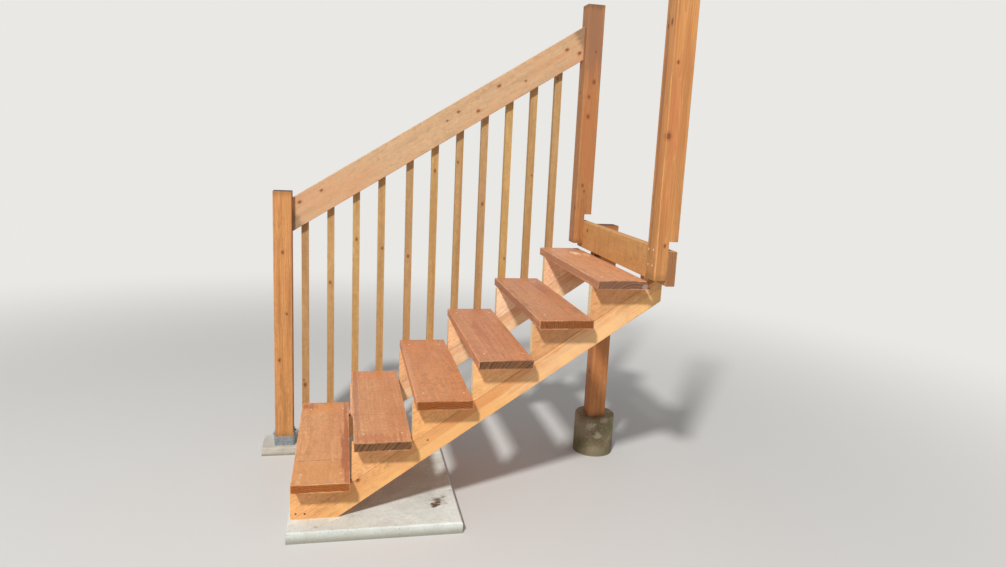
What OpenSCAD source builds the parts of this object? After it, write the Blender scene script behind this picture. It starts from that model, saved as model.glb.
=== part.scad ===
// Open-riser wooden deck stairs: six plank treads on two carriages with step blocks,
// a railing on one side, a concrete pad at the foot and a post on a pier at the head.
// Millimetres. X runs up the flight from the front edge of the first tread, Y points to the
// railing side with zero at the middle of the treads, and Z is zero on the ground.

/* [Flight] */
// Height from one tread to the next
rise = 169; // [150:1:190]
// Height of the first tread over the pad
first_rise = 190; // [150:1:230]
// Thickness of the tread planks
tread_t = 38; // [32:1:50]
// Width of the tread planks, front to back
tread_w = 235; // [200:1:290]
// Gap between a tread's back edge and the next step block
tread_gap = 7; // [2:0.5:16]
// Length of the tread planks, side to side
tread_len = 950; // [800:5:1200]
// How far the step blocks show in front of the treads
tread_reveal = 7; // [0:1:30]
// How far the top tread's back edge is bevelled off at its upper side
top_bevel = 23; // [5:1:40]
// Radius of the eased edges of the planks
plank_ease = 3; // [1:0.5:6]

/* [Carriages] */
// Width of the carriage boards, square to the slope
carriage_w = 95; // [70:1:140]
// Thickness of the carriage boards and step blocks
carriage_t = 38; // [30:1:50]
// How far the treads run out past the open-side carriage
open_overhang = 78; // [0:1:150]
// How far the treads run out past the rail-side carriage
rail_overhang = 70; // [0:1:150]
// How far the carriages run on past the back of the rim board
carriage_tail = 70; // [45:1:100]

/* [Head] */
// Height of the rim board
rim_h = 140; // [120:1:240]
// Thickness of the rim board
rim_t = 38; // [30:1:50]
// Gap between the top tread and the underside of the rim board
rim_gap = 14; // [5:1:40]
// How far the head posts end above the underside of the rim board
post_short = 24; // [0:1:60]
// Room for the deck's boards between the rim board and the shoulders of the head posts
deck_room = 38; // [5:1:60]
// Side of the square posts
post_w = 89; // [80:1:140]
// Radius of the eased edges of the posts
post_ease = 4; // [1:0.5:8]
// Distance from the open ends of the treads to the corner post
corner_clear = 100; // [20:1:200]
// Thickness of the hanger cleats
cleat_t = 38; // [25:1:50]
// Height of the hanger cleats above the underside of the rim board
cleat_up = 110; // [60:1:115]
// Length of the hanger cleats below the underside of the rim board
cleat_down = 110; // [60:1:120]

/* [Railing] */
// Width of the handrail board, square to its slope
rail_w = 140; // [89:1:184]
// Thickness of the handrail board
rail_t = 38; // [30:1:50]
// Height of the rail's top edge over the first tread, at the lower newel
rail_over_first = 1075; // [900:5:1150]
// Height of the rail's top edge over the top tread, at the upper newel
rail_over_top = 1144; // [950:5:1200]
// Distance from the first tread's front edge back to the lower newel
newel_set = 45; // [10:1:120]
// How far the rail and carriage side sits inside the posts' outer faces
post_out = 12; // [0:1:30]
// How far the lower newel stands up past the rail's top edge
newel_up = 33; // [10:1:120]
// How far the upper newel stands up past the rail's top edge
upper_newel_up = 104; // [10:1:200]

/* [Balusters] */
// Side of the square balusters
baluster_w = 35; // [25:1:45]
// Middle of the first baluster past the front edge of the first tread
baluster_first = 14; // [0:1:60]
// Middle of the last baluster before the front of the upper newel
baluster_last = 110; // [60:1:130]
// Extra space after the fourth baluster
baluster_extra = 14; // [0:1:14]
// How far the balusters reach below the treads they are fixed to
baluster_foot = 25; // [10:1:50]
// How far the balusters reach up behind the rail
baluster_lap = 120; // [60:1:140]

/* [Supports] */
// Thickness of the concrete pad
pad_t = 50; // [30:1:150]
// Length of the pad along the flight
pad_len = 721; // [400:1:1200]
// How far the pad shows in front of the first step blocks
pad_front = 11; // [0:1:60]
// How far the pad shows past the open ends of the treads
pad_side = 30; // [0:1:150]
// Bevel along the top edges of the pad and the newel's footing
pad_bevel = 6; // [2:1:15]
// Diameter of the round pier
pier_d = 210; // [180:1:300]
// Height of the round pier above the ground
pier_h = 215; // [120:1:300]
// Rounding of the pier's top edge
pier_round = 10; // [3:1:20]
// How far the pier's middle lies behind the middle of its post
pier_back = 14; // [0:1:20]
// How far the pier's middle lies from its post's towards the railing
pier_side = 28; // [0:1:40]
// Gap between the rail-side cleat and the support post
support_clear = 24.5; // [5:0.5:200]
// Side of the square footing under the lower newel
footing_w = 180; // [150:1:300]
// Height of the newel's footing above the ground
footing_h = 42; // [20:1:100]
// How far the footing shows in front of the newel's open side
footing_lip = 28; // [10:1:60]
// Gap between the footing and the pad
footing_gap = 2; // [1:0.5:10]
// Height of the metal shoe between the footing and the newel
shoe_h = 49; // [30:1:100]
// Thickness of the metal shoe's plates
shoe_t = 5; // [3:0.5:8]
// Height of the shoe's legs on the newel
shoe_ear = 20; // [15:1:80]

/* [Hidden] */
steps = 6;
balusters = 11;
wide_gap_after = 4;
run = tread_w + tread_gap + tread_reveal;
pitch = atan(rise / run);
open_end = -tread_len / 2;
rail_end = tread_len / 2;
open_carriage_y = open_end + open_overhang;
rail_carriage_y = rail_end - rail_overhang - carriage_t;
head_x = riser_x(steps + 1);
rim_x = head_x - rim_t;
rim_z = tread_top(steps) + rim_gap;
rim_top = rim_z + rim_h;
head_post_x = head_x - post_w;
head_post_z = rim_z + post_short;
rail_post_y = rail_end + post_out - post_w;
corner_post_y = open_end - corner_clear - post_w;
newel_x = -newel_set - post_w;
newel_z = footing_h + shoe_h;
rail_y = rail_end - rail_t;
rail_low = tread_top(1) + rail_over_first;
rail_high = tread_top(steps) + rail_over_top;
rail_slope = (rail_high - rail_low) / (head_post_x + newel_set);
rail_pitch = atan(rail_slope);
rail_drop = rail_w / cos(rail_pitch);
baluster_span = head_post_x - baluster_last - baluster_first - baluster_extra;
upper_newel_top = rail_high + upper_newel_up;
joint_x = riser_x(2) - (seat(1) - pad_t) * run / rise;
toe_x = max(joint_x, riser_x(1));
tail_x = head_x + carriage_tail;
pad_x = riser_x(1) - pad_front;
pad_y = open_end - pad_side;
pad_wide = rail_end + baluster_w - pad_y;
support_y = rail_carriage_y - cleat_t - support_clear - post_w / 2;
wood_stain = [0.70, 0.42, 0.27];
wood_honey = [0.90, 0.63, 0.38];
wood_brown = [0.66, 0.41, 0.24];
wood_gold = [0.80, 0.60, 0.36];
wood_rim = [0.78, 0.52, 0.31];
concrete = [0.80, 0.79, 0.76];
weathered = [0.52, 0.48, 0.42];
galvanized = [0.62, 0.64, 0.66];

// Top of tread i, the first being number one
function tread_top(i) = pad_t + first_rise + (i - 1) * rise;

// Flat seat under tread i
function seat(i) = tread_top(i) - tread_t;

// Upright front face of step block i
function riser_x(i) = (i - 1) * run - tread_reveal;

// Upper edge of the carriage boards at x
function carriage_top(x) = pad_t + (x - joint_x) * rise / run;

// Top and bottom edges of the handrail at x
function rail_top(x) = rail_low + (x + newel_set) * rail_slope;
function rail_bottom(x) = rail_top(x) - rail_drop;

// Middle of baluster i along the flight
function baluster_x(i) =
    baluster_first
    + (i - 1) * baluster_span / (balusters - 1)
    + (i > wide_gap_after ? baluster_extra : 0);

// Tread whose end carries the baluster at x, and the foot of that baluster
function tread_at(x) = min(steps, max(1, floor(x / run) + 1));
function baluster_low(x) = seat(tread_at(x)) - baluster_foot;

// Rectangle with rounded corners and its low corner at zero
module eased_rectangle(a, b, r) {
    translate([r, 0])
        square([a - 2 * r, b]);
    translate([0, r])
        square([a, b - 2 * r]);
    for (x = [r, a - r], y = [r, b - r])
        translate([x, y])
            circle(r = r, $fn = 32);
}

// Outline drawn in X and Z, given its thickness from y towards the railing
module side_cut(y, thickness) {
    translate([0, y + thickness, 0])
        rotate([90, 0, 0])
            linear_extrude(height = thickness)
                children();
}

// Square post standing at x, y from z to its top
module post(x, y, z, top) {
    translate([x, y, z])
        linear_extrude(height = top - z)
            eased_rectangle(post_w, post_w, post_ease);
}

// Board with eased edges that slopes up from its top edge's low end at x, y, z,
// cut plumb at both ends and level at the floor
module sloping_board(x, y, z, end_x, floor_z, angle, width, thickness) {
    length = (end_x - x) / cos(angle) + 2 * width;
    intersection() {
        translate([x, y, z])
            rotate([0, -angle, 0])
                translate([-width, 0, -width])
                    rotate([90, 0, 90])
                        linear_extrude(height = length)
                            eased_rectangle(thickness, width, plank_ease);
        translate([x, y - 1, floor_z])
            cube([end_x - x, thickness + 2, z + length]);
    }
}

// Straight carriage board with its foot cut level on the pad and its head cut plumb
module carriage(y) {
    color(wood_honey)
        sloping_board(
            toe_x, y, carriage_top(toe_x), tail_x, pad_t, pitch, carriage_w, carriage_t
        );
}

// Triangular block on the carriage that carries tread i, the first one cut off by the pad
module step_block(i, y) {
    foot = i == 1 && joint_x > riser_x(1)
        ? [[riser_x(1), pad_t], [joint_x, pad_t]]
        : [[riser_x(i), carriage_top(riser_x(i))]];
    color(wood_honey)
        side_cut(y, carriage_t)
            polygon(concat(foot, [[riser_x(i + 1), seat(i)], [riser_x(i), seat(i)]]));
}

// Plank tread; the top one lies flush with its step blocks, with its back edge bevelled
module tread(i) {
    top = i == steps;
    front = riser_x(i) + (top ? 0 : tread_reveal);
    color(wood_stain)
        translate([front, 0, seat(i)])
            side_cut(open_end, tread_len)
                difference() {
                    eased_rectangle(tread_w, tread_t, plank_ease);
                    if (top)
                        polygon([
                            [tread_w, 0],
                            [tread_w + 1, tread_t + 1],
                            [tread_w - top_bevel, tread_t + 1],
                            [tread_w - top_bevel, tread_t]
                        ]);
                }
}

// Short upright block inside a carriage, fastened behind the rim board
module hanger_cleat(y) {
    color(wood_honey)
        translate([head_x, y, rim_z - cleat_down])
            cube([carriage_tail, cleat_t, cleat_down + cleat_up]);
}

// Square baluster fixed to a tread's end, with its lower end bevelled on the outer face
module baluster(i) {
    x = baluster_x(i);
    low = baluster_low(x);
    high = rail_bottom(x) + baluster_lap;
    color(wood_gold)
        translate([x - baluster_w / 2, rail_end, 0])
            rotate([90, 0, 90])
                linear_extrude(height = baluster_w)
                    polygon([
                        [0, low],
                        [baluster_w / 3, low],
                        [baluster_w, low + baluster_w * 2 / 3],
                        [baluster_w, high],
                        [0, high]
                    ]);
}

// Slab cast flat, with bevelled top edges
module cast_slab(x, y, long, wide, high) {
    side = pad_bevel * sqrt(2);
    translate([x, y, 0])
        difference() {
            cube([long, wide, high]);
            for (edge = [0, long])
                translate([edge, -1, high])
                    rotate([0, 45, 0])
                        translate([-side / 2, 0, -side / 2])
                            cube([side, wide + 2, side]);
            for (edge = [0, wide])
                translate([-1, edge, high])
                    rotate([45, 0, 0])
                        translate([0, -side / 2, -side / 2])
                            cube([long + 2, side, side]);
        }
}

// Post at the head of the flight, notched at the back for the rim board and the deck's boards
module head_post(y) {
    color(wood_brown)
        difference() {
            post(head_post_x, y, head_post_z, upper_newel_top);
            translate([rim_x, y - 1, head_post_z - 1])
                cube([post_w, post_w + 2, rim_top + deck_room - head_post_z + 1]);
        }
}

module concrete_pad() {
    color(concrete)
        cast_slab(pad_x, pad_y, pad_len, pad_wide, pad_t);
}

module newel_footing() {
    color(concrete)
        cast_slab(
            pad_x - footing_gap - footing_w, rail_post_y - footing_lip,
            footing_w, footing_w, footing_h
        );
}

module rim_board() {
    color(wood_rim)
        translate([rim_x, 0, rim_z])
            side_cut(corner_post_y, rail_post_y + post_w - corner_post_y)
                eased_rectangle(rim_t, rim_h, plank_ease);
}

module corner_post() {
    head_post(corner_post_y);
}

module upper_newel() {
    head_post(rail_post_y);
}

module lower_newel() {
    color(wood_brown)
        post(newel_x, rail_post_y, newel_z, rail_low + newel_up);
}

module support_post() {
    color(wood_brown)
        post(head_x, support_y - post_w / 2, pier_h, rim_top);
}

module handrail() {
    color(wood_gold)
        sloping_board(
            -newel_set, rail_y, rail_low, head_post_x, 0, rail_pitch, rail_w, rail_t
        );
}

// Round cast pier with a rounded top edge
module concrete_pier() {
    color(weathered)
        translate([head_x + post_w / 2 + pier_back, support_y + pier_side, 0])
            rotate_extrude($fn = 64)
                difference() {
                    square([pier_d / 2, pier_h]);
                    translate([pier_d / 2 - pier_round, pier_h - pier_round])
                        difference() {
                            square(pier_round + 1);
                            circle(r = pier_round, $fn = 48);
                        }
                }
}

// Metal shoe: base plate, two legs that clasp the newel, and a bent plate that holds it up
module newel_shoe() {
    outer = post_w + 2 * shoe_t;
    color(galvanized)
        translate([newel_x - shoe_t, rail_post_y, footing_h]) {
            cube([outer, post_w, shoe_t]);
            for (x = [0, outer - shoe_t])
                translate([x, post_ease, 0])
                    cube([shoe_t, post_w - 2 * post_ease, shoe_h + shoe_ear]);
            translate([0, 0, shoe_h - shoe_t])
                cube([outer, post_w, shoe_t]);
            for (y = [0, post_w - shoe_t])
                translate([shoe_t, y, 0])
                    cube([post_w, shoe_t, shoe_h]);
        }
}

concrete_pad();
carriage(open_carriage_y);  // open_side_carriage
carriage(rail_carriage_y);  // rail_side_carriage
step_block(1, open_carriage_y);  // open_side_block_1
step_block(2, open_carriage_y);  // open_side_block_2
step_block(3, open_carriage_y);  // open_side_block_3
step_block(4, open_carriage_y);  // open_side_block_4
step_block(5, open_carriage_y);  // open_side_block_5
step_block(6, open_carriage_y);  // open_side_block_6
step_block(1, rail_carriage_y);  // rail_side_block_1
step_block(2, rail_carriage_y);  // rail_side_block_2
step_block(3, rail_carriage_y);  // rail_side_block_3
step_block(4, rail_carriage_y);  // rail_side_block_4
step_block(5, rail_carriage_y);  // rail_side_block_5
step_block(6, rail_carriage_y);  // rail_side_block_6
tread(1);  // tread_1
tread(2);  // tread_2
tread(3);  // tread_3
tread(4);  // tread_4
tread(5);  // tread_5
tread(6);  // tread_6
hanger_cleat(open_carriage_y + carriage_t);  // open_side_cleat
hanger_cleat(rail_carriage_y - cleat_t);  // rail_side_cleat
rim_board();
corner_post();
upper_newel();
concrete_pier();
support_post();
newel_footing();
newel_shoe();
lower_newel();
handrail();
baluster(1);  // baluster_01
baluster(2);  // baluster_02
baluster(3);  // baluster_03
baluster(4);  // baluster_04
baluster(5);  // baluster_05
baluster(6);  // baluster_06
baluster(7);  // baluster_07
baluster(8);  // baluster_08
baluster(9);  // baluster_09
baluster(10);  // baluster_10
baluster(11);  // baluster_11
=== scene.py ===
import math
import random

import bmesh
import bpy
from mathutils import Euler, Matrix, Vector


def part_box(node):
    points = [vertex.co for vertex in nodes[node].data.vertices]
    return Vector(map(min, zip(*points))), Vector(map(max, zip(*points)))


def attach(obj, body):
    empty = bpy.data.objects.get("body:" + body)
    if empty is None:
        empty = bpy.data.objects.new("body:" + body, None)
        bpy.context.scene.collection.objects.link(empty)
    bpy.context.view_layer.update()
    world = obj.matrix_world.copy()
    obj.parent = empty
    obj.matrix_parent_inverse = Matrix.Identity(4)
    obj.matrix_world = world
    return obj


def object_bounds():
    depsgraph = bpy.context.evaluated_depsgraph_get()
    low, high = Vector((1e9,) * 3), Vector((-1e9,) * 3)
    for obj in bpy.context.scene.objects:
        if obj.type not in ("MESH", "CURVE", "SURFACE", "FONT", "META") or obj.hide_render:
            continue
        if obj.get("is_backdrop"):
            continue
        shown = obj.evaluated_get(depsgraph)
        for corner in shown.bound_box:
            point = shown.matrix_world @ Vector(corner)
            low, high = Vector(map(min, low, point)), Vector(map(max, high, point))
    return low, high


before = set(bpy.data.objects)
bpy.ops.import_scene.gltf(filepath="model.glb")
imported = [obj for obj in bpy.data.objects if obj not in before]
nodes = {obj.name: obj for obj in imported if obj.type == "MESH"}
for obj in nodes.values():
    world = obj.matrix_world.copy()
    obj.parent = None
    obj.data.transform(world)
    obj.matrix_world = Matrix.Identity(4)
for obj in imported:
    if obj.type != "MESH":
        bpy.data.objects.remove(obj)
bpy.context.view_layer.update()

chance = random.Random(11)

# Concrete pad and newel footing
# Two flat slabs cast from a sandy mix and left grey: the feet of the two carriages stand on
# the large one, and the lower newel's shoe on the small one. Air holes show in their faces.


class Shade:
    """A value, colour or vector in a material; sums on it add Math nodes."""

    def __init__(self, tree, socket=None):
        self.tree = tree
        self.socket = socket

    def add(self, kind, sockets=None, out=0, **settings):
        """A new node: its settings, then its sockets' values or links; gives one output."""
        made = self.tree.nodes.new("ShaderNode" + kind)
        for name, value in settings.items():
            setattr(made, name, value)
        for key, value in (sockets or {}).items():
            if isinstance(value, Shade):
                self.tree.links.new(made.inputs[key], value.socket)
            else:
                made.inputs[key].default_value = value
        return Shade(self.tree, made.outputs[out])

    def math(self, operation, *others):
        sockets = {0: self}
        sockets.update({i + 1: other for i, other in enumerate(others)})
        return self.add("Math", sockets, operation=operation)

    def __add__(self, other):
        return self.math("ADD", other)

    def __sub__(self, other):
        return self.math("SUBTRACT", other)

    def __rsub__(self, other):
        return self.add("Math", {0: other, 1: self}, operation="SUBTRACT")

    def __mul__(self, other):
        return self.math("MULTIPLY", other)

    def __truediv__(self, other):
        return self.math("DIVIDE", other)

    def __abs__(self):
        return self.math("ABSOLUTE")

    __radd__ = __add__
    __rmul__ = __mul__

    def fade(self, start, end, low=0.0, high=1.0):
        """Low up to start, high from end on, smooth between; start may be the greater."""
        if start > end:
            start, end, low, high = end, start, high, low
        sockets = {"Value": self, "From Min": start, "From Max": end, "To Min": low, "To Max": high}
        return self.add("MapRange", sockets, interpolation_type="SMOOTHSTEP", clamp=True)

    def stretch(self, x, y, z):
        """This vector with its three parts scaled."""
        return self.add("VectorMath", {0: self, 1: (x, y, z)}, operation="MULTIPLY")

    def shift(self, x, y, z):
        """This vector moved, so that the next noise differs from the last."""
        return self.add("VectorMath", {0: self, 1: (x, y, z)}, operation="ADD")

    def parts(self):
        return [self.add("SeparateXYZ", {0: self}, out=axis) for axis in ("X", "Y", "Z")]

    def noise(self, scale, detail=2.0, rough=0.5, warp=0.0):
        """Cloudy noise from 0 to 1, with scale lumps to the metre."""
        sockets = {"Vector": self, "Scale": scale, "Detail": detail, "Roughness": rough, "Distortion": warp}
        return self.add("TexNoise", sockets)

    def long_noise(self, along, across, detail=2.0, rough=0.5, warp=0.0):
        """Noise with so many lumps to the metre along the first axis, and across it."""
        return self.stretch(along, across, across).noise(1.0, detail, rough, warp)

    def between(self, first, second):
        """A colour between two others, by this value from 0 to 1."""
        return self.add("Mix", {0: self, 6: first, 7: second}, out=2, data_type="RGBA")

    def mix(self, other, factor, blend="MIX"):
        """This colour mixed with another by a factor."""
        sockets = {0: factor, 6: self, 7: other}
        return self.add("Mix", sockets, out=2, data_type="RGBA", blend_type=blend)

    def tint(self, factor):
        """This colour made lighter or darker by a varying factor."""
        grey = self.add("CombineColor", {0: factor, 1: factor, 2: factor})
        return self.mix(grey, 1.0, "MULTIPLY")

    def vary(self, noise, strength):
        """This colour made up to strength darker and lighter by a noise."""
        return self.tint(1 - strength + 2 * strength * noise)


def colour(red, green, blue):
    """A colour as read from a screen, 0 to 255, as the shaders take it."""
    parts = []
    for part in (red, green, blue):
        part /= 255
        parts.append(part / 12.92 if part <= 0.04045 else ((part + 0.055) / 1.055) ** 2.4)
    return (*parts, 1.0)


def scaled(tone, factor):
    """A fixed colour made lighter or darker."""
    return (*(min(1.0, part * factor) for part in tone[:3]), 1.0)


def new_material(name):
    """An empty material, its shader, and a start for its sums."""
    material = bpy.data.materials.new(name)
    material.use_nodes = True
    tree = material.node_tree
    return material, tree.nodes["Principled BSDF"], Shade(tree)


def link(shader, **shades):
    """Joins shades to the shader's sockets, named with _ for a blank."""
    for name, shade in shades.items():
        shader.id_data.links.new(shader.inputs[name.replace("_", " ")], shade.socket)


def dress(name, material):
    """Gives a piece of the frame its material."""
    materials = nodes[name].data.materials
    materials.clear()
    materials.append(material)


def concrete(name, pale, dark, pit_size, stains=(), seed=0.0, dark_foot_height=0.0):
    """Cast concrete with clouds, sand, air holes and stains, and its foot darker and browner up to a height.

    A stain is its place on the frame, its reach, its colour and its strength.
    """
    material, shader, start = new_material(name)
    raw = start.add("TexCoord", out="Object")
    place = raw.shift(seed, seed * 0.7, seed * 1.3)
    cloud = place.noise(4.5, detail=5.0, rough=0.62)
    drift = place.stretch(1.0, 2.4, 1.0).noise(11.0, detail=4.0, rough=0.6)
    sand = place.noise(520.0, rough=0.7)
    speck = place.noise(130.0, detail=3.0, rough=0.6)
    crumb = place.noise(45.0, detail=5.0, rough=0.7)
    tone = cloud.fade(0.35, 0.68).between(pale, dark)
    tone = tone.vary(drift, 0.14).vary(sand, 0.12).tint(speck.fade(0.30, 0.46, 0.80, 1.0)).vary(crumb, 0.16)
    lime = colour(236, 232, 222)
    tone = tone.mix(lime, speck.fade(0.62, 0.72) * 0.5)
    holes = place.add("TexVoronoi", {"Vector": place, "Scale": 1 / pit_size}, feature="F1")
    pit = holes.fade(0.16, 0.06) * place.noise(24.0, detail=1.0).fade(0.54, 0.62)
    # painted shade: the air holes are darkened inside
    hole_shade = colour(92, 86, 76)
    tone = tone.mix(hole_shade, pit * 0.8)
    ragged = 3.4
    for spot, reach, shade, strength in stains:
        apart = raw.add("VectorMath", {0: raw, 1: spot}, out="Value", operation="DISTANCE")
        edge = apart + (crumb - 0.5) * (reach * ragged)
        tone = tone.mix(shade, edge.fade(reach, reach * 0.35) * strength)
    # darker and browner towards the foot, up to a height
    if dark_foot_height:
        foot_brown = colour(122, 112, 90)
        foot = raw.parts()[2] + (cloud - 0.5) * 0.03
        tone = tone.mix(foot_brown, foot.fade(dark_foot_height, 0.0) * 0.75)
    height = sand * 0.25 + speck * 0.45 + crumb * 0.5 - pit * 1.6
    bump = start.add("Bump", {"Strength": 0.6, "Distance": 0.0012, "Height": height})
    link(shader, Base_Color=tone, Roughness=0.80 + 0.15 * sand, Normal=bump)
    shader.inputs["Specular IOR Level"].default_value = 0.3
    return material


pad_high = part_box("concrete_pad")[1]
pad_top = pad_high.z
rust = colour(100, 73, 52)
pad_stains = [
    # what has run and dried on the open side, dark at its lower end
    ((0.598, -0.350, pad_top), 0.018, rust, 0.9),
    ((0.604, -0.334, pad_top), 0.023, rust, 0.9),
    ((0.612, -0.318, pad_top), 0.025, rust, 0.8),
    ((0.622, -0.300, pad_top), 0.024, rust, 0.6),
    ((0.633, -0.284, pad_top), 0.020, rust, 0.5),
    ((0.646, -0.268, pad_top), 0.015, rust, 0.5),
    ((0.622, -0.305, pad_top), 0.048, rust, 0.3),
    # two faint ones, on the top and low on the side
    ((0.10, -0.47, pad_top), 0.016, rust, 0.35),
    ((pad_high.x, -0.2, 0.01), 0.05, rust, 0.4),
]
dress("concrete_pad", concrete(
    "pad concrete", colour(230, 235, 229), colour(208, 211, 203), pit_size=0.011,
    stains=pad_stains, seed=3.0, dark_foot_height=0.046))
dress("newel_footing", concrete(
    "footing concrete", colour(206, 201, 190), colour(180, 173, 160), pit_size=0.010, seed=5.0, dark_foot_height=0.02))

# Carriages and step blocks
# Two straight boards of treated softwood carry the flight, and a triangular block screwed on
# top of each board under every tread gives the sawtooth outline. Honey-coloured, new timber,
# paler on the rail side.


def wood(name, turn, early, late, end, pith, half=None, spacing=0.006, contrast=0.3, knots=(),
         fibre=0.14, cloud=0.10, mottled=0.08, streaks=0.0, blotch=None, patches=(), end_marks=(),
         seam=0.0, wear_and_highlight=0.2, dark_ends=0.0, chatter=0.0, runs=0.0, specks=0.0, rough=0.6, seed=0.0):
    """Timber whose year rings circle a pith that runs along the piece's own first axis.

    turn lays the first axis along the grain, half gives the half sizes on the piece's own axes
    where they aren't those of its box, and pith is the pith's place beside the middle. A ring
    is spacing wide, early and late are its two tones, and end is the tone of the sawn ends.

    A knot is its place along and across, its radius, and the face it shows on: 1 or -1 for the
    sides that the second axis runs to, 2 or -2 for those of the third. It narrows into the wood.
    A patch is a place on the frame, its reach along and across the grain, colour and strength;
    patches leave the sawn ends alone, and end_marks don't.

    The strengths: contrast of the rings, fibre for fine lines, cloud and mottled for large and
    small clouds, streaks for dark bands, blotch (a colour and a strength) for spots, seam for a
    dark line where a block meets its board, wear for arrises worn paler, which also paints
    highlight on them, dark_ends for what the ends have drunk, chatter for saw marks, runs for
    what has dripped, and specks for dust and dirt.
    """
    low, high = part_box(name)
    middle = (low + high) / 2
    turned = Euler(turn).to_matrix()
    if half is None:
        half = [abs(size) for size in turned.transposed() @ (high - low) / 2]
    material, shader, start = new_material(name.replace("_", " "))
    raw = start.add("TexCoord", out="Object")
    spot = raw.add("Mapping", {"Vector": raw, "Location": middle, "Rotation": turn}, vector_type="TEXTURE")
    x, y, z = spot.parts()
    drift = spot.shift(seed * 3.1, seed * 1.7, seed * 2.3)
    crumb = drift.long_noise(14.0, 60.0, detail=3.0, rough=0.6)
    hair = drift.long_noise(8.0, 380.0, detail=3.0, rough=0.65)
    line = drift.shift(3.0, 8.0, 4.0).long_noise(3.0, 90.0, detail=4.0, rough=0.62)
    big = drift.long_noise(2.6, 9.0, detail=3.0, rough=0.55)
    mottle = drift.shift(5.0, 1.0, 8.0).long_noise(24.0, 50.0, detail=4.0, rough=0.68, warp=1.2)

    # The pith sways along the piece, the rings are uneven, and they bend round the knots
    most_sway = 0.06
    sway = drift.long_noise(1.4, 1.5, warp=0.2)
    sway_2 = drift.shift(7.0, 3.0, 1.0).long_noise(1.1, 1.5)
    u = y - pith[0] + (sway - 0.5) * most_sway
    v = z - pith[1] + (sway_2 - 0.5) * most_sway
    radius = (u * u + v * v).math("SQRT")
    uneven = start.add("CombineXYZ", {0: radius * 34.0, 1: seed}).noise(1.0, detail=1.0)
    radius = radius + (uneven - 0.5) * (spacing * 3.0)
    knot = None
    knot_slim = 0.7
    knot_taper = 0.25
    for along, aside, size, face in knots:
        on_y = abs(face) == 1
        du = (x - along) * knot_slim
        dv = (z if on_y else y) - aside
        depth = half[abs(face)] - (y if on_y else z) * math.copysign(1, face)
        apart = ((du * du + dv * dv).math("SQRT") + depth * knot_taper) / size
        knot = apart if knot is None else knot.math("MINIMUM", apart)
    if knots:
        knot = knot + (crumb - 0.5) * 1.1
        radius = radius + knot.fade(3.2, 0.8) * (spacing * 2.0)
    phase = (radius / spacing + (crumb - 0.5) * 0.5).math("FRACT")
    ring = phase.fade(0.15, 0.9) * phase.fade(1.0, 0.94)

    def marked(tone, marks):
        """The tone with each patch laid on it, ragged along the grain."""
        for place, along, aside, shade, strength in marks:
            here = turned.transposed() @ (Vector(place) - middle)
            parts = [(part - at) / reach for part, at, reach in zip((x, y, z), here, (along, aside, aside))]
            apart = (parts[0] * parts[0] + parts[1] * parts[1] + parts[2] * parts[2]).math("SQRT")
            apart = apart + (line - 0.5) * 2.2 + (crumb - 0.5) * 1.2
            tone = tone.mix(shade, apart.fade(1.0, 0.45) * strength)
        return tone

    # The faces
    tone = (ring * contrast).between(early, late)
    tone = tone.vary(line, fibre).vary(hair, fibre * 0.8).vary(big, cloud).vary(mottle, mottled)
    if chatter:
        saw = drift.long_noise(60.0, 14.0, detail=3.0, rough=0.65, warp=0.8)
        tone = tone.vary(saw, chatter)
    if streaks:
        band = drift.shift(9.0, 2.0, 6.0).long_noise(1.5, 36.0, detail=3.0, rough=0.55)
        tone = tone.mix(late, line.fade(0.50, 0.68) * streaks)
        tone = tone.mix(late, band.fade(0.48, 0.64) * streaks)
    if runs:
        drip = raw.shift(seed, 0.0, 0.0).stretch(42.0, 42.0, 5.0).noise(1.0, detail=5.0, rough=0.65, warp=1.4)
        drip_brown = colour(140, 88, 48)
        tone = tone.mix(drip_brown, drip.fade(0.46, 0.74) * runs)
    if blotch:
        shade, strength = blotch
        where = (big * 0.6 + mottle * 0.4).fade(0.46, 0.62)
        tone = tone.mix(shade, where * strength)
    tone = marked(tone, patches)
    if knots:
        knot_heart = colour(134, 76, 40)
        knot_bark = colour(84, 46, 26)
        tone = tone.mix(late, knot.fade(3.4, 0.9) * 0.75)
        tone = tone.mix(knot_heart, knot.fade(1.1, 0.7) * 0.8)
        tone = tone.mix(knot_bark, knot.fade(1.5, 1.0) * knot.fade(0.5, 1.0) * 0.7)

    # Sawn ends drink the stain: darker, with sharp rings and fine checks out from the pith
    facing = start.add("TexCoord", out="Normal")
    grain_way = turned @ Vector((1, 0, 0))
    ended = facing.add("VectorMath", {0: facing, 1: grain_way}, out="Value", operation="DOT_PRODUCT")
    ended = abs(ended).fade(0.6, 0.8)
    angle = v.math("ARCTAN2", u)
    rays = start.add("CombineXYZ", {0: angle * 90.0, 1: radius * 14.0, 2: x * 6.0}).noise(1.0)
    checks = rays.fade(0.30, 0.24) * ended
    end_tone = ring.between(scaled(end, 1.35), scaled(end, 0.62))
    end_tone = end_tone.vary(drift.noise(90.0, detail=4.0, rough=0.7), 0.24)
    tone = tone.mix(end_tone, ended)
    tone = tone.tint(1 - 0.6 * checks)
    tone = marked(tone, end_marks)
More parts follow.
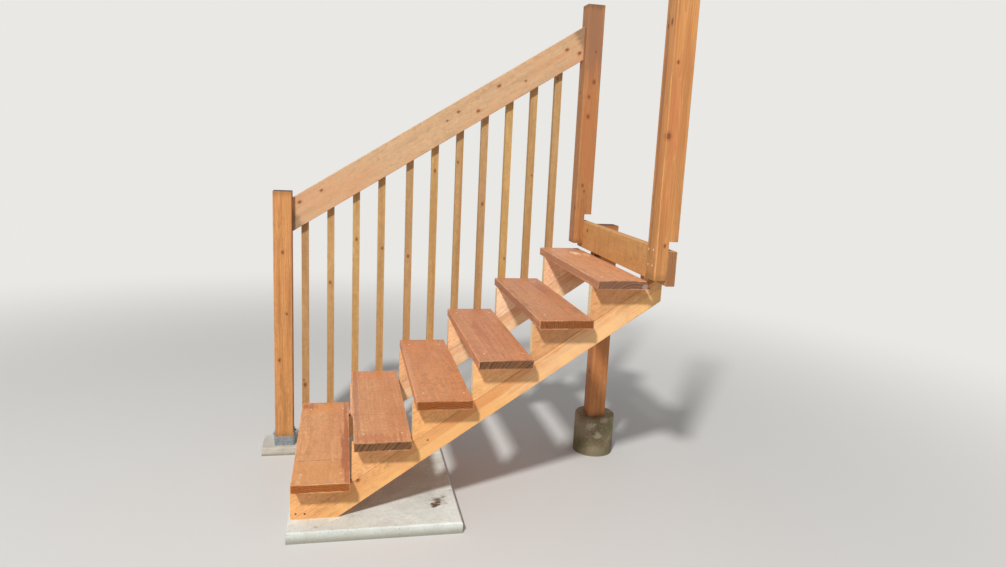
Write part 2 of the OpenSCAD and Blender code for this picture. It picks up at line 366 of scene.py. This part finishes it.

    # Handled arrises are worn paler, and the same pale band is painted highlight along the eased arrises
    gaps = [size - abs(part) for part, size in zip((x, y, z), half)]
    least = gaps[0].math("MINIMUM", gaps[1])
    most = gaps[0].math("MAXIMUM", gaps[1])
    arris = least.math("MAXIMUM", most.math("MINIMUM", gaps[2]))
    rubbed_and_highlit = (arris + (drift.noise(55.0, detail=3.0, rough=0.6) - 0.5) * 0.008).fade(0.0055, 0.0005)
    rubbed_and_highlit = rubbed_and_highlit * drift.noise(8.0).fade(0.42, 0.58, 0.35, 1.0)
    tone = tone.mix(scaled(early, 1.45), rubbed_and_highlit * wear_and_highlight)
    if specks:
        grit = drift.noise(170.0, detail=3.0, rough=0.7, warp=1.6)
        gathered = big.fade(0.38, 0.60, 0.15, 1.0) * (1 - 0.7 * ended) * specks
        dust = colour(246, 214, 168)
        dirt = colour(96, 58, 40)
        tone = tone.mix(dust, grit.fade(0.59, 0.65) * gathered)
        tone = tone.mix(dirt, grit.fade(0.40, 0.34) * gathered)
    if dark_ends:
        drunk_in = 0.035
        close = (gaps[0] + (line - 0.5) * 0.05).fade(drunk_in, 0.0)
        tone = tone.tint(1 - close * dark_ends)
    if seam:
        seam_brown = colour(120, 62, 24)
        tone = tone.mix(seam_brown, abs(z).fade(0.0028, 0.0008) * seam)
    height = hair * 0.4 + line * 0.35 + ring * 0.3 - checks * 1.2
    bump = start.add("Bump", {"Strength": 0.5, "Distance": 0.0008, "Height": height})
    link(shader, Base_Color=tone, Roughness=rough - 0.08 + 0.16 * hair + 0.15 * ended, Normal=bump)
    shader.inputs["Specular IOR Level"].default_value = 0.35
    return material


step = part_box("open_side_block_3")[0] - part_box("open_side_block_2")[0]
pitch = math.atan2(step.z, step.x)
up_the_slope = (0.0, -pitch, 0.0)
carriage_w = 0.095
open_low, open_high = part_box("open_side_carriage")
rail_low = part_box("rail_side_carriage")[0]
honey_late = colour(200, 126, 66)
honey_end = colour(228, 190, 144)
honey_blotch = (colour(206, 128, 68), 0.55)
open_side_knots = [
    (-0.633, -0.007, 0.005, -1), (-0.30, -0.03, 0.0022, -1), (0.10, 0.028, 0.004, -1),
    (-0.45, 0.01, 0.006, 1), (0.25, -0.02, 0.005, 1)]
open_side_marks = [
    ((1.198, open_low.y, 0.795), 0.004, 0.014, colour(96, 52, 26), 0.8),
    ((1.210, open_low.y, 0.785), 0.440, 0.070, colour(247, 209, 163), 0.50),
]
rail_side_knots = [(0.25, 0.01, 0.006, -1), (-0.4, -0.02, 0.005, -1), (0.52, 0.0, 0.006, 1)]
# A block is a triangle, so these only have to hold it
block_half = (0.15, 0.019, 0.2)
block_late = colour(206, 128, 70)
block_end = colour(244, 216, 176)
block_tones = {
    # from the foot of the flight up
    "open_side": [colour(238, 176, 116), colour(238, 178, 118), colour(236, 176, 112),
                  colour(238, 182, 122), colour(216, 160, 108), colour(217, 161, 109)],
    "rail_side": [colour(244, 190, 138), colour(246, 194, 144), colour(244, 190, 138),
                  colour(246, 196, 148), colour(252, 212, 174), colour(246, 196, 154)],
}
half_length = math.hypot(open_high.x - open_low.x, open_high.z - open_low.z) / 2
half_thickness = (open_high.y - open_low.y) / 2
carriage_half = (half_length, half_thickness, carriage_w / 2)
for side, honey, knots, marks in (
        ("open_side", colour(232, 173, 112), open_side_knots, open_side_marks),
        ("rail_side", colour(246, 200, 156), rail_side_knots, [])):
    carriage = side + "_carriage"
    dress(carriage, wood(
        carriage, up_the_slope, honey, honey_late, honey_end, pith=(0.05, -0.09), half=carriage_half,
        spacing=0.007, contrast=0.20, knots=knots, fibre=0.20, cloud=0.16, mottled=0.56, streaks=0.2,
        blotch=honey_blotch, patches=marks, wear_and_highlight=0.45, seed=chance.uniform(1, 9)))
    for i, tone in enumerate(block_tones[side], 1):
        block = f"{side}_block_{i}"
        pith = (0.06 + chance.uniform(-0.02, 0.02), 0.09 + chance.uniform(-0.03, 0.03))
        dress(block, wood(
            block, up_the_slope, tone, block_late, block_end, pith, block_half, spacing=0.0065,
            contrast=0.14, fibre=0.20, cloud=0.12, mottled=0.50, seam=0.2 if i == 1 else 0.5, wear_and_highlight=0.0,
            seed=chance.uniform(1, 9)))


def screw_metal(name, bright, dull, specks, all_dull, rough):
    """Plating gone dull in fine specks, so many to the metre, and dullest where noise is all_dull."""
    material, shader, start = new_material(name)
    worn = start.add("TexCoord", out="Object").noise(specks, detail=3.0, rough=0.6)
    link(shader, Base_Color=worn.fade(0.4, all_dull).between(bright, dull), Roughness=rough + 0.2 * worn)
    shader.inputs["Metallic"].default_value = 0.3
    return material


steel = screw_metal(
    "plated steel", colour(244, 232, 206), colour(214, 198, 164), specks=300.0, all_dull=0.6, rough=0.34)
bronze = screw_metal(
    "bronzed steel", colour(124, 84, 52), colour(156, 116, 78), specks=400.0, all_dull=0.65, rough=0.40)


def raised(shape, face, by):
    """The face drawn up by a length, with sides left behind it."""
    drawn = bmesh.ops.extrude_face_region(shape, geom=[face])["geom"]
    top = next(part for part in drawn if isinstance(part, bmesh.types.BMFace))
    bmesh.ops.translate(shape, verts=top.verts, vec=(0, 0, by))
    return top


def flat_head(shape):
    """A countersunk screw head with a six-lobed recess, at zero and facing up."""
    radius = 0.0046
    proud = 0.0005
    rim_width, rim_rise = 0.0007, 0.0004
    land_width = radius * 0.38
    between_lobes = 0.68
    wall_slope, recess_depth = 0.00012, 0.0006
    verts = bmesh.ops.create_circle(shape, cap_ends=True, segments=12, radius=radius)["verts"]
    top = raised(shape, verts[0].link_faces[0], proud)
    bmesh.ops.inset_region(shape, faces=[top], thickness=rim_width, depth=rim_rise)
    bmesh.ops.inset_region(shape, faces=[top], thickness=land_width)
    bmesh.ops.scale(shape, verts=list(top.verts)[::2], vec=(between_lobes, between_lobes, 1))
    bmesh.ops.inset_region(shape, faces=[top], thickness=wall_slope, depth=-recess_depth)


def fasteners(name, places, way, head=flat_head, metal=steel):
    """Heads at places, joined in one piece; way is where they face."""
    shape = bmesh.new()
    aimed = Vector(way).to_track_quat("Z", "Y").to_matrix().to_4x4()
    for place in places:
        known = set(shape.verts)
        head(shape)
        made = [vert for vert in shape.verts if vert not in known]
        twist = Matrix.Rotation(chance.uniform(0, math.pi), 4, "Z")
        bmesh.ops.transform(shape, matrix=Matrix.Translation(place) @ aimed @ twist, verts=made)
    bmesh.ops.recalc_face_normals(shape, faces=shape.faces)
    mesh = bpy.data.meshes.new(name)
    shape.to_mesh(mesh)
    shape.free()
    mesh.materials.append(metal)
    piece = bpy.data.objects.new(name, mesh)
    bpy.context.scene.collection.objects.link(piece)
    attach(piece, "root")


# Along the flight and up, on each carriage's face towards the open side
foot_screws = ((0.015, 0.075), (0.052, 0.073))
for side, face_y in (("open_side", open_low.y), ("rail_side", rail_low.y)):
    fasteners(side + "_foot_screws", [(x, face_y, z) for x, z in foot_screws], (0, -1, 0), metal=bronze)
underside = Vector((math.sin(pitch), 0, -math.cos(pitch)))
block_screw_shares = (0.3, 0.7)
for side, low in (("open_side", open_low), ("rail_side", rail_low)):
    places = []
    for i in range(2, 7):
        # from below into every block but the lowest, where the pad is in the way
        block_low, block_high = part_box(f"{side}_block_{i}")
        for share in block_screw_shares:
            seat = block_low.lerp(block_high, share)
            places.append(Vector((seat.x, low.y + half_thickness, seat.z)) + underside * carriage_w)
    fasteners(side + "_block_screws", places, underside)

# Treads
# Six thick planks, each in one piece, oiled a red brown. They lie flat on the step blocks with
# their eased front edges out, two screws at each end, and their sawn ends have darkened.

side_to_side = (0.0, 0.0, math.pi / 2)
treads = [
    # base, year rings, sawn end, pith, ring spacing, streaks, and patches: each is placed from
    # the front edge, from the middle of the length and below the top
    (colour(227, 168, 118), colour(188, 116, 72), colour(158, 87, 32), (0.02, -0.30), 0.0075, 0.10,
     [((0.120, 0.400, 0.0), 0.100, 0.200, colour(230, 152, 88), 0.5),
      ((0.110, -0.350, 0.0), 0.130, 0.200, colour(218, 148, 90), 0.5),
      ((0.222, -0.100, 0.0), 0.600, 0.030, colour(168, 92, 62), 0.75),
      ((0.115, -0.245, 0.0), 0.004, 0.220, colour(160, 100, 68), 0.5),
      # painted shadow: the dark spot at this tread's far front corner, beside the lower newel
      ((0.030, 0.420, 0.0), 0.050, 0.050, colour(170, 98, 70), 0.6)]),
    (colour(221, 162, 115), colour(182, 112, 74), colour(112, 74, 44), (-0.26, -0.22), 0.016, 0.15,
     [((0.121, 0.400, 0.0), 0.080, 0.200, colour(222, 138, 88), 0.5),
      ((0.013, 0.000, 0.0), 0.550, 0.020, colour(176, 122, 100), 0.7),
      ((0.121, -0.160, 0.0), 0.004, 0.220, colour(160, 102, 74), 0.5),
      ((0.121, 0.155, 0.0), 0.003, 0.200, colour(168, 108, 78), 0.4),
      ((0.091, -0.430, 0.0), 0.060, 0.150, colour(190, 110, 72), 0.6)]),
    (colour(216, 149, 102), colour(182, 110, 68), colour(140, 74, 22), (0.00, -0.34), 0.0075, 0.12,
     [((0.062, 0.300, 0.0), 0.120, 0.060, colour(224, 142, 84), 0.5),
      ((0.112, -0.245, 0.0), 0.004, 0.220, colour(164, 100, 70), 0.5),
      # painted highlight: the pale band along this tread's front arris
      ((0.007, 0.000, 0.0), 0.500, 0.014, colour(226, 164, 132), 0.5)]),
    (colour(213, 148, 108), colour(172, 104, 70), colour(113, 74, 46), (-0.22, -0.19), 0.013, 0.22,
     [((0.093, 0.000, 0.0), 0.400, 0.030, colour(176, 102, 74), 0.5),
      ((0.118, -0.400, 0.0), 0.070, 0.0016, colour(96, 52, 36), 0.9)]),
    (colour(210, 151, 111), colour(166, 102, 74), colour(132, 74, 30), (0.30, -0.05), 0.0065, 0.30,
     # painted shade: the darker band over this tread's front face
     [((0.000, 0.000, 0.019), 0.700, 0.030, colour(146, 96, 70), 0.65),
      ((0.184, 0.200, 0.0), 0.200, 0.030, colour(168, 98, 80), 0.5)]),
    (colour(223, 163, 120), colour(186, 116, 82), colour(126, 88, 65), (-0.05, -0.11), 0.0085, 0.18,
     # painted shade: the darker band over this tread's front face
     [((0.007, 0.000, 0.019), 0.700, 0.030, colour(160, 104, 78), 0.55),
      ((0.140, 0.290, 0.0), 0.070, 0.030, colour(250, 226, 188), 0.9),
      ((0.182, 0.240, 0.0), 0.050, 0.018, colour(246, 214, 172), 0.7)]),
]
frayed_corner = ((0.210, -0.475, 0.025), 0.012, 0.015, colour(200, 166, 148), 0.55)
tread_blotch = (colour(196, 120, 78), 0.5)
screws_from_front = (0.042, 0.204)


def on_the_tread(patches, low, high):
    """Patches with their places turned from a tread's own to the frame's."""
    return [((low.x + place[0], place[1], high.z - place[2]), *rest) for place, *rest in patches]


for i, (tone, late, end, pith, spacing, streaks, patches) in enumerate(treads, 1):
    name = f"tread_{i}"
    low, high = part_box(name)
    end_marks = [frayed_corner] if i == len(treads) else []
    dress(name, wood(
        name, side_to_side, tone, late, end, pith, spacing=spacing, contrast=0.24, fibre=0.24, cloud=0.14,
        mottled=0.54, streaks=streaks, blotch=tread_blotch, patches=on_the_tread(patches, low, high),
        end_marks=on_the_tread(end_marks, low, high), wear_and_highlight=0.65, dark_ends=0.08, chatter=0.15, specks=0.75,
        rough=0.55, seed=chance.uniform(1, 9)))
    places = []
    for carriage_low in (open_low, rail_low):
        for from_front in screws_from_front:
            y = carriage_low.y + half_thickness + chance.uniform(-0.006, 0.006)
            places.append((low.x + from_front + chance.uniform(-0.008, 0.008), y, high.z))
    fasteners(name + "_screws", places, (0, 0, 1))

# Head of the flight
# A rim board lies across the head of the flight. Two square posts, notched over it, are screwed
# to it, and a short cleat inside each carriage ties the flight to its back. Brown softwood.

dress("rim_board", wood(
    "rim_board", side_to_side, colour(216, 163, 102), colour(172, 112, 60), colour(150, 102, 66),
    pith=(0.09, 0.03), contrast=0.14, knots=[(0.42, 0.03, 0.005, 1), (-0.2, -0.02, 0.007, -1)],
    fibre=0.10, cloud=0.16, mottled=0.36, streaks=0.15, blotch=(colour(184, 128, 70), 0.5),
    chatter=0.16, runs=0.45, specks=0.3, seed=4.2))


def hex_head(shape, across=0.014):
    """A hexagon bolt head on its washer, at zero and facing up."""
    washer_radius, washer_up = across * 0.95, 0.0018
    to_corner, head_up = across / math.sqrt(3), 0.0057
    for segments, radius, base, up, slope in ((24, washer_radius, 0.0, washer_up, 0.0004),
                                              (6, to_corner, washer_up, head_up, 0.0012)):
        verts = bmesh.ops.create_circle(shape, cap_ends=True, segments=segments, radius=radius)["verts"]
        bmesh.ops.translate(shape, verts=verts, vec=(0, 0, base))
        top = raised(shape, verts[0].link_faces[0], up)
        bmesh.ops.inset_region(shape, faces=[top], thickness=slope, depth=slope * 0.6)


upright = (0.0, -math.pi / 2, 0.0)
pale = colour(246, 208, 156)
cleat_bolts_up = (0.035, 0.085)
places = []
for name, seed in (("open_side_cleat", 2.2), ("rail_side_cleat", 6.1)):
    dress(name, wood(name, upright, pale, honey_late, honey_end, pith=(0.04, 0.05), seed=seed))
    low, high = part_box(name)
    middle = (low + high) / 2
    places += [(high.x, middle.y, middle.z + up) for up in cleat_bolts_up]
fasteners("cleat_bolts", places, (1, 0, 0), hex_head)

posts = {
    # base, and the knots on the face towards the open side
    "upper_newel": (colour(186, 133, 84), [
        (0.228, -0.0095, 0.005), (0.152, 0.0115, 0.004), (0.054, 0.0105, 0.005),
        (0.376, -0.009, 0.003), (-0.30, 0.015, 0.004), (-0.33, 0.004, 0.003)]),
    "corner_post": (colour(214, 153, 93), [
        (-0.046, 0.035, 0.006), (0.226, 0.022, 0.003), (-0.467, 0.011, 0.003)]),
    "lower_newel": (colour(214, 153, 93), [
        (0.33, 0.0, 0.004), (-0.22, 0.02, 0.004), (0.02, -0.018, 0.003)]),
    "support_post": (colour(198, 132, 78), [(0.1, 0.01, 0.005)]),
}
post_late = colour(154, 94, 50)
post_end = colour(104, 68, 46)
post_blotch = (colour(176, 104, 54), 0.45)
post_marks_and_shade = {
    # painted shade: the darker brown-grey over the upper newel's top
    "upper_newel": [((1.440, 0.398, 2.200), 0.300, 0.090, colour(146, 103, 76), 0.8),
                    ((1.440, 0.398, 1.700), 0.350, 0.050, colour(182, 110, 66), 0.5)],
    "corner_post": [((1.400, -0.600, 1.700), 0.800, 0.016, colour(140, 92, 66), 0.6),
                    ((1.425, -0.664, 1.720), 0.280, 0.030, colour(196, 118, 74), 0.6)],
}


def any_knot(along, aside, least, most, face):
    """A knot at random on a face, up to along and aside from its middle."""
    return (chance.uniform(-along, along), chance.uniform(-aside, aside), chance.uniform(least, most), face)


for name, (tone, seen_knots) in posts.items():
    knots = [(*knot, -1) for knot in seen_knots]
    knots += [any_knot(0.45, 0.03, 0.003, 0.006, face) for face in (1, 1, 2, 2, -2, -2)]
    pith = (chance.uniform(-0.03, -0.02), chance.uniform(0.015, 0.03))
    dress(name, wood(
        name, upright, tone, post_late, post_end, pith, knots=knots, fibre=0.26, cloud=0.20, mottled=0.42,
        streaks=0.40, blotch=post_blotch, patches=post_marks_and_shade.get(name, ()), dark_ends=0.3,
        seed=chance.uniform(1, 9)))
corner_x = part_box("corner_post")[0].x
# Across and up, on the post's front
corner_screws = ((-0.590, 1.238), (-0.636, 1.241), (-0.594, 1.178), (-0.635, 1.179))
fasteners("corner_post_screws", [(corner_x, y, z) for y, z in corner_screws], (-1, 0, 0))
rim_low, rim_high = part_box("rim_board")
newel_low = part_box("upper_newel")[0]
# Across and up from the post's low corner, on the rim board's back
newel_screws = [(aside, up) for aside in (0.022, 0.066) for up in (0.03, 0.09)]
places = [(rim_high.x, newel_low.y + aside, newel_low.z + up) for aside, up in newel_screws]
fasteners("upper_newel_screws", places, (1, 0, 0))
support_low, support_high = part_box("support_post")
support_y = (support_low.y + support_high.y) / 2
# Across from the post's middle and up from the rim board's underside
support_bolts = ((-0.02, 0.035), (0.02, 0.10))
places = [(support_high.x, support_y + aside, rim_low.z + up) for aside, up in support_bolts]
fasteners("support_post_bolts", places, (1, 0, 0), hex_head)

# Pier
# A round concrete pier, cast in a tube and weathered brown-grey, with green stains on its sides
# and pale patches. The support post stands on its top.

pier_low, pier_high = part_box("concrete_pier")
pier_x, pier_y, _ = (pier_low + pier_high) / 2
pale_patch = colour(206, 196, 170)
green = colour(104, 104, 62)
pier_stains = [
    ((pier_x - 0.052, pier_y - 0.091, 0.170), 0.032, pale_patch, 0.5),
    ((pier_x - 0.012, pier_y - 0.104, 0.123), 0.026, pale_patch, 0.45),
    ((pier_x + 0.022, pier_y - 0.102, 0.205), 0.028, pale_patch, 0.4),
    ((pier_x - 0.090, pier_y + 0.050, 0.190), 0.030, pale_patch, 0.4),
    ((pier_x + 0.100, pier_y + 0.020, 0.130), 0.034, pale_patch, 0.4),
    ((pier_x + 0.058, pier_y - 0.087, 0.150), 0.060, green, 0.6),
    ((pier_x - 0.080, pier_y - 0.060, 0.060), 0.060, green, 0.5),
    ((pier_x - 0.030, pier_y + 0.100, 0.110), 0.070, green, 0.5),
]
dress("concrete_pier", concrete(
    "pier concrete", colour(160, 147, 120), colour(112, 99, 75), pit_size=0.010, stains=pier_stains,
    seed=7.0, dark_foot_height=0.07))

# Newel shoe
# A galvanized steel shoe keeps the lower newel's foot off the footing. It is bent from plate,
# and screwed to the newel through its two legs. Zinc spangles show in its grey faces.

galvanized, shader, start = new_material("galvanized steel")
place = start.add("TexCoord", out="Object")
grain = place.add("TexVoronoi", {"Vector": place, "Scale": 110.0}, out="Color", feature="F1")
spangle = start.add("SeparateColor", {0: grain})
dull = place.noise(38.0, detail=4.0, rough=0.6)
tone = spangle.between(colour(150, 155, 162), colour(180, 185, 192)).tint(dull.fade(0.35, 0.6, 0.75, 1.0))
link(shader, Base_Color=tone, Roughness=0.38 + 0.2 * dull + 0.1 * spangle)
shader.inputs["Metallic"].default_value = 0.75
dress("newel_shoe", galvanized)
shoe_low, shoe_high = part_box("newel_shoe")
shoe_y = (shoe_low.y + shoe_high.y) / 2
shoe_screw_z = shoe_high.z - 0.011
for name, x, way in (("shoe_front_screws", shoe_low.x, -1), ("shoe_back_screws", shoe_high.x, 1)):
    places = [(x, shoe_y + aside, shoe_screw_z) for aside in (-0.022, 0.022)]
    fasteners(name, places, (way, 0, 0), lambda shape: hex_head(shape, across=0.009), galvanized)

# Handrail
# One pale softwood board on edge, a little less steep than the flight. It is cut plumb at both
# ends, where it butts on the two newels, and its knots show on the side towards the treads.

rail_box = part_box("handrail")
rail_half = (rail_box[1] - rail_box[0]) / 2
rail_w = 0.140
rail_pitch = pitch
for _ in range(20):
    # the box is as high as the board's rise and its plumb cut together
    rail_pitch = math.atan2(2 * rail_half.z - rail_w / math.cos(rail_pitch), 2 * rail_half.x)
rail_half_length = rail_half.x / math.cos(rail_pitch)
rail_knots = [
    (-0.79, 0.035, 0.005, -1), (-0.67, 0.03, 0.004, -1), (0.76, 0.015, 0.005, -1),
    (0.81, -0.031, 0.005, -1), (0.496, -0.014, 0.003, -1), (0.362, 0.031, 0.005, -1),
    (0.208, -0.023, 0.005, -1), (0.117, 0.022, 0.004, -1), (0.046, 0.012, 0.003, -1),
    (-0.35, 0.02, 0.006, 1), (0.4, -0.03, 0.005, 1)]
dress("handrail", wood(
    "handrail", (0.0, -rail_pitch, 0.0), colour(206, 170, 131), colour(180, 125, 84), colour(150, 96, 58),
    pith=(0.05, -0.12), half=(rail_half_length, rail_half.y, rail_w / 2), spacing=0.0065, contrast=0.20,
    knots=rail_knots, fibre=0.24, cloud=0.14, mottled=0.46, streaks=0.20,
    blotch=(colour(202, 142, 100), 0.5), dark_ends=0.45, specks=0.2, seed=5.4))

# Balusters
# Eleven square sticks, two to a tread: each is screwed to a tread's end and, near its top, to
# the outer side of the handrail. The fourth and the fifth stand a little further apart.

screws_from_foot = (0.036, 0.053)
screws_from_head = (0.030, 0.090)
baluster_count = 11
baluster_screws = []
for i in range(1, baluster_count + 1):
    name = f"baluster_{i:02d}"
    warm = chance.uniform(-7, 7)
    knots = [(-0.40, 0.002, 0.005, -1)] if i == 1 else []
    knots += [any_knot(0.4, 0.010, 0.0025, 0.004, face) for face in (-1, 2, 1)]
    pith = (chance.uniform(-0.06, 0.06), chance.uniform(0.03, 0.07))
    dress(name, wood(
        name, upright, colour(191 + warm, 154 + warm, 101), colour(160 + warm, 112 + warm, 62),
        colour(150, 104, 66), pith, spacing=0.005, contrast=0.24, knots=knots, fibre=0.22, cloud=0.18,
        mottled=0.40, streaks=0.35, wear_and_highlight=0.15, seed=chance.uniform(1, 9)))
    low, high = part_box(name)
    x = (low.x + high.x) / 2
    heights = [low.z + up for up in screws_from_foot] + [high.z - down for down in screws_from_head]
    baluster_screws += [(x + chance.uniform(-0.004, 0.004), high.y, z) for z in heights]
fasteners("baluster_screws", baluster_screws, (0, 1, 0))

# Floor, light and camera
# A plain pale floor that runs into a pale surround, and a big soft lamp high on the open side.
# The camera stands where the photograph was taken from.

backdrop = colour(233, 232, 229)


def seen_directly(start):
    """1 where the camera sees a surface, also in metal or through glass."""
    rays = ("Is Camera Ray", "Is Glossy Ray", "Is Transmission Ray")
    camera_ray, glossy_ray, glass_ray = [start.add("LightPath", out=ray) for ray in rays]
    return camera_ray.math("MAXIMUM", glossy_ray).math("MAXIMUM", glass_ray)


floor_reach = 40.0
plain_up_to, gone_by = 2.0, 6.0
grid = bmesh.new()
bmesh.ops.create_grid(grid, x_segments=1, y_segments=1, size=floor_reach)
mesh = bpy.data.meshes.new("floor")
grid.to_mesh(mesh)
grid.free()
floor = bpy.data.objects.new("floor", mesh)
bpy.context.scene.collection.objects.link(floor)
floor_paint, shader, start = new_material("floor paint")
shader.inputs["Base Color"].default_value = colour(216, 215, 213)
shader.inputs["Roughness"].default_value = 0.9
place = start.add("TexCoord", out="Object")
away = place.add("VectorMath", {0: place}, out="Value", operation="LENGTH").fade(plain_up_to, gone_by)
glow = start.add("Emission", {"Color": backdrop})
tree = shader.id_data
paint = Shade(tree, shader.outputs[0])
surface = start.add("MixShader", {0: away * seen_directly(start), 1: paint, 2: glow})
tree.links.new(tree.nodes["Material Output"].inputs["Surface"], surface.socket)
mesh.materials.append(floor_paint)
floor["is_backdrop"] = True

world = bpy.data.worlds.new("surround")
bpy.context.scene.world = world
world.use_nodes = True
tree = world.node_tree
fill = (0.33, 0.33, 0.33, 1.0)
tone = seen_directly(Shade(tree)).between(fill, backdrop)
tree.links.new(tree.nodes["Background"].inputs["Color"], tone.socket)

lamp_data = bpy.data.lights.new("key lamp", "AREA")
lamp_data.shape = "DISK"
lamp_data.size = 1.2
lamp_data.energy = 1750.0
lamp_data.color = (1.0, 0.99, 0.97)
lamp = bpy.data.objects.new("key lamp", lamp_data)
bpy.context.scene.collection.objects.link(lamp)
lamp_aim = Vector((0.7, 0.0, 0.8))
lamp.location = (-4.1, -9.2, 10.2)
lamp.rotation_euler = (lamp_aim - lamp.location).to_track_quat("-Z", "Y").to_euler()

photo_width_px = 1006
focal_px = 737.2
camera_data = bpy.data.cameras.new("camera")
camera_data.sensor_width = 36.0
camera_data.lens = focal_px * camera_data.sensor_width / photo_width_px
camera_data.clip_end = 200.0
camera = bpy.data.objects.new("camera", camera_data)
bpy.context.scene.collection.objects.link(camera)
bpy.context.scene.camera = camera
yaw, tip, roll = 0.21738, 0.18787, 0.04758
sight = Vector((math.sin(yaw) * math.cos(tip), math.cos(yaw) * math.cos(tip), -math.sin(tip)))
level_right = Vector((math.cos(yaw), -math.sin(yaw), 0.0))
level_up = level_right.cross(sight)
right = level_right * math.cos(roll) + level_up * math.sin(roll)
camera.location = (0.2026, -3.3277, 1.6265)
camera.rotation_euler = Matrix((right, right.cross(sight), -sight)).transposed().to_euler()

bpy.context.scene.view_settings.view_transform = "Standard"

low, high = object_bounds()
